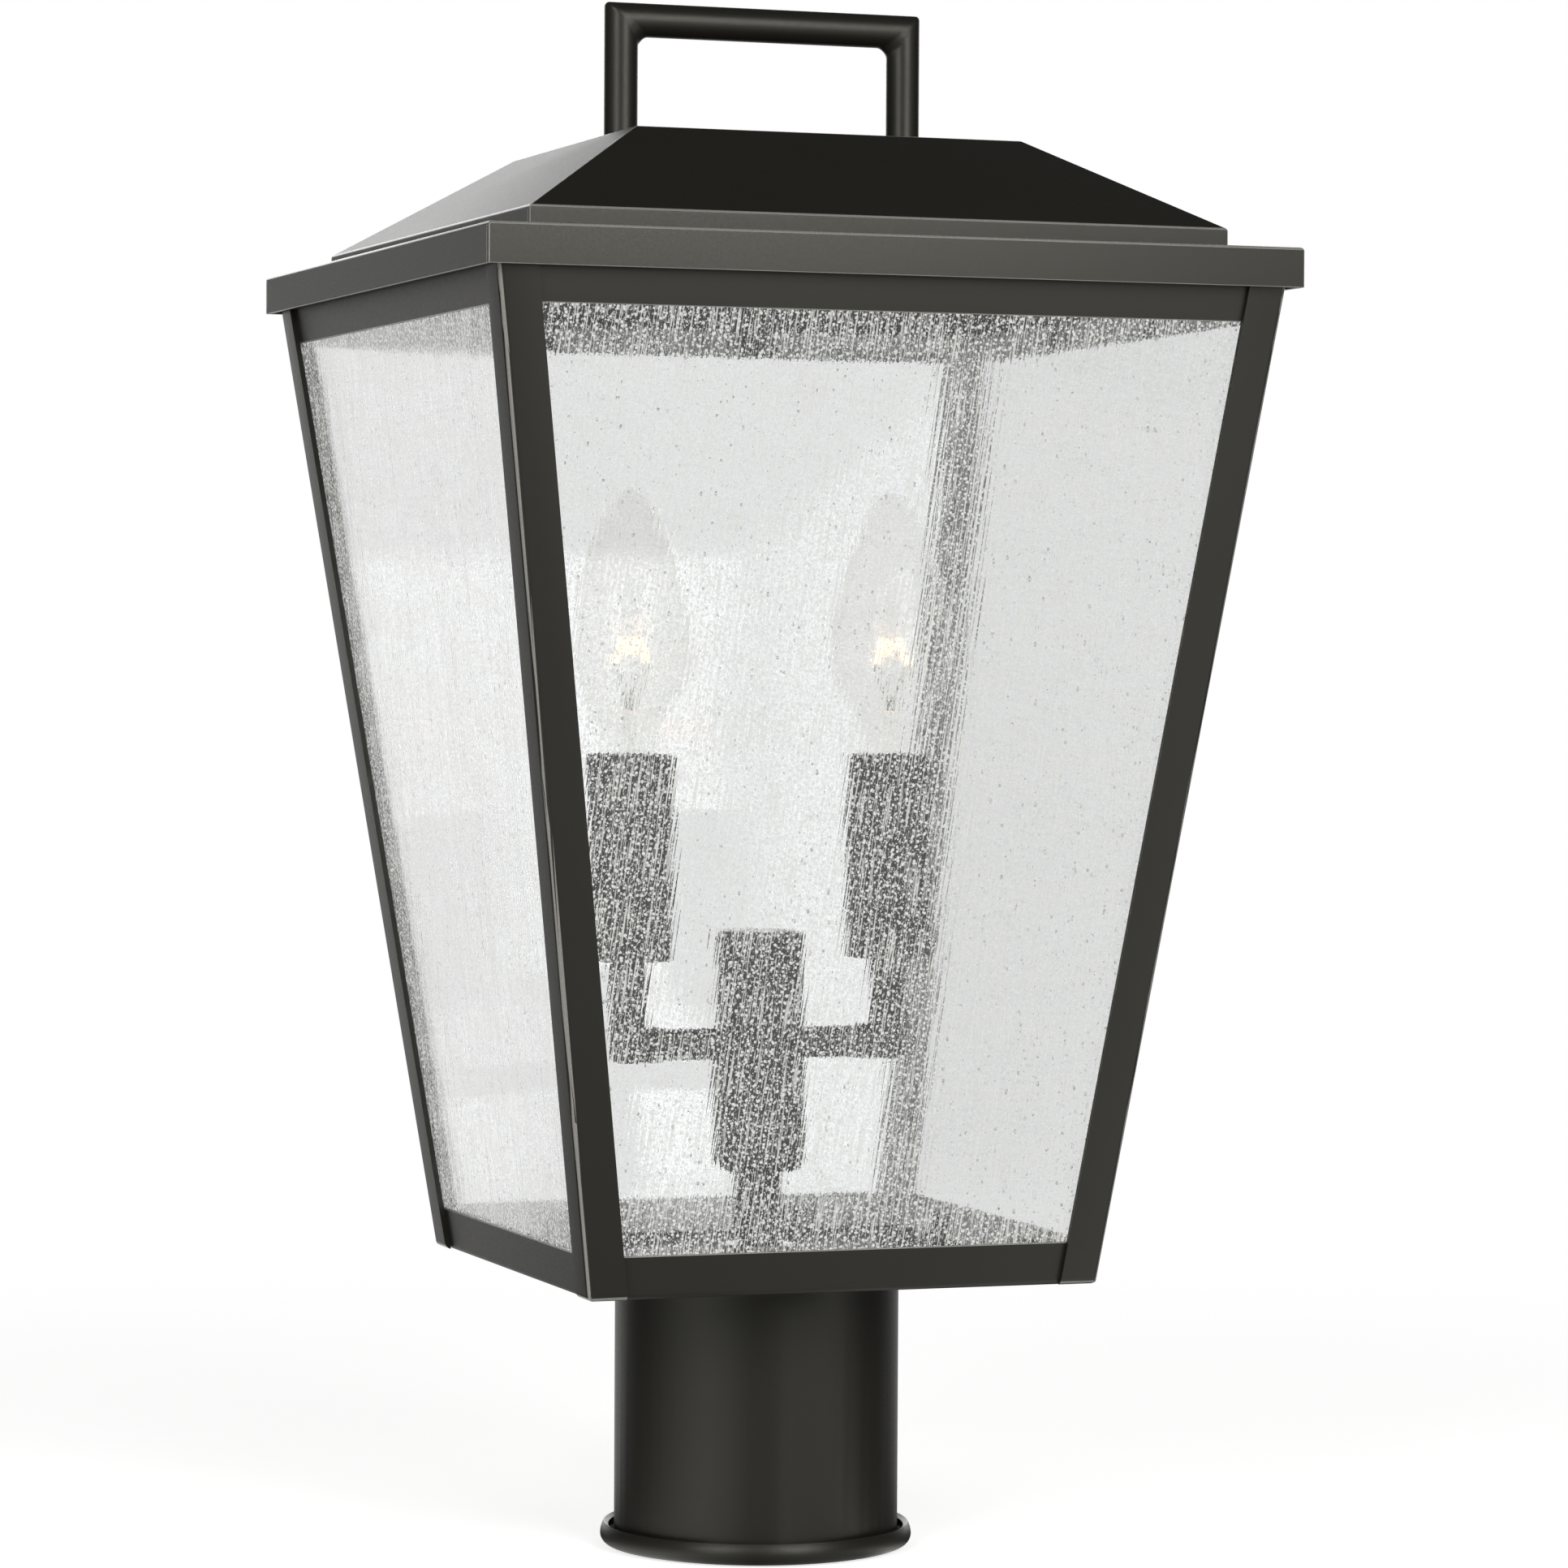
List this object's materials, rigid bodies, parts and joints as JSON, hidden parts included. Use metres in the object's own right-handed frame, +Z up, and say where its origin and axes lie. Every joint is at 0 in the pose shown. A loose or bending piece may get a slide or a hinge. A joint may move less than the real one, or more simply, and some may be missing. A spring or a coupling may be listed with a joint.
{
  "type": "post top lantern",
  "caption": "Square tapered post top lantern with seeded panes, a lift-off hipped lid with a bar handle, and two candle lamps on a round post fitter.",
  "frame": {"origin": "centre of the fitter's bottom edge, at the lowest point of its bead", "axes": "+Z up along the post, -Y the front, -X the left side"},
  "size_m": [0.2282, 0.2325, 0.4315],
  "materials": {
    "bronze_paint": "satin textured dark bronze",
    "seeded_glass": "clear seeded",
    "bulb_glass": "clear",
    "brass": "bright",
    "cap_metal": "bright",
    "filament": "wire",
    "holder_plastic": "moulded",
    "zinc_steel": "zinc plated"
  },
  "bodies": {
    "cage": {"arm_left": "bronze_paint", "arm_right": "bronze_paint", "base_tray": "bronze_paint", "candle_sleeve_left": "bronze_paint", "candle_sleeve_right": "bronze_paint", "cluster_body": "bronze_paint", "cluster_cap": "bronze_paint", "corner_post_back_left": "bronze_paint", "corner_post_back_right": "bronze_paint", "corner_post_front_left": "bronze_paint", "corner_post_front_right": "bronze_paint", "fitter_tube": "bronze_paint", "lampholder_left": "holder_plastic", "lampholder_right": "holder_plastic", "lid_nuts": "zinc_steel", "nipple": "bronze_paint", "nipple_nut": "zinc_steel", "pane_back": "seeded_glass", "pane_clips": "bronze_paint", "pane_front": "seeded_glass", "pane_left": "seeded_glass", "pane_right": "seeded_glass", "riser_left": "bronze_paint", "riser_nuts": "zinc_steel", "riser_right": "bronze_paint", "socket_contact_left": "brass", "socket_contact_right": "brass", "socket_shell_left": "brass", "socket_shell_right": "brass", "top_rail_back": "bronze_paint", "top_rail_front": "bronze_paint", "top_rail_left": "bronze_paint", "top_rail_right": "bronze_paint"},
    "lid": {"cornice": "bronze_paint", "handle_screws": "zinc_steel", "handle_washers": "zinc_steel", "lift_handle": "bronze_paint", "locating_tabs": "bronze_paint", "roof": "bronze_paint"},
    "bulb_left": {"bulb_base_left": "cap_metal", "bulb_filament_left": "filament", "bulb_glass_left": "bulb_glass", "bulb_stem_left": "bulb_glass"},
    "bulb_right": {"bulb_base_right": "cap_metal", "bulb_filament_right": "filament", "bulb_glass_right": "bulb_glass", "bulb_stem_right": "bulb_glass"},
    "lid_screw_left": {"lid_screw_left": "bronze_paint"},
    "lid_screw_right": {"lid_screw_right": "bronze_paint"},
    "fitter_screw_left": {"fitter_screw_left": "zinc_steel"},
    "fitter_screw_right": {"fitter_screw_right": "zinc_steel"}
  },
  "joints": [
    {"name": "lid_lift", "type": "slide", "parent": "cage", "child": "lid", "axis": [0, 0, 1], "range_m": [0, 0.12]},
    {"name": "bulb_out_left", "type": "slide", "parent": "cage", "child": "bulb_left", "axis": [0, 0, 1], "range_m": [0, 0.028]},
    {"name": "bulb_out_right", "type": "slide", "parent": "cage", "child": "bulb_right", "axis": [0, 0, 1], "range_m": [0, 0.028]},
    {"name": "lid_screw_out_left", "type": "slide", "parent": "cage", "child": "lid_screw_left", "axis": [0, 1, 0], "range_m": [0, 0.006]},
    {"name": "lid_screw_out_right", "type": "slide", "parent": "cage", "child": "lid_screw_right", "axis": [0, 1, 0], "range_m": [0, 0.006]},
    {"name": "fitter_screw_out_left", "type": "slide", "parent": "cage", "child": "fitter_screw_left", "axis": [-0.5736, 0.8192, 0], "range_m": [-0.0035, 0.003]},
    {"name": "fitter_screw_out_right", "type": "slide", "parent": "cage", "child": "fitter_screw_right", "axis": [0.5736, 0.8192, 0], "range_m": [-0.0035, 0.003]}
  ]
}
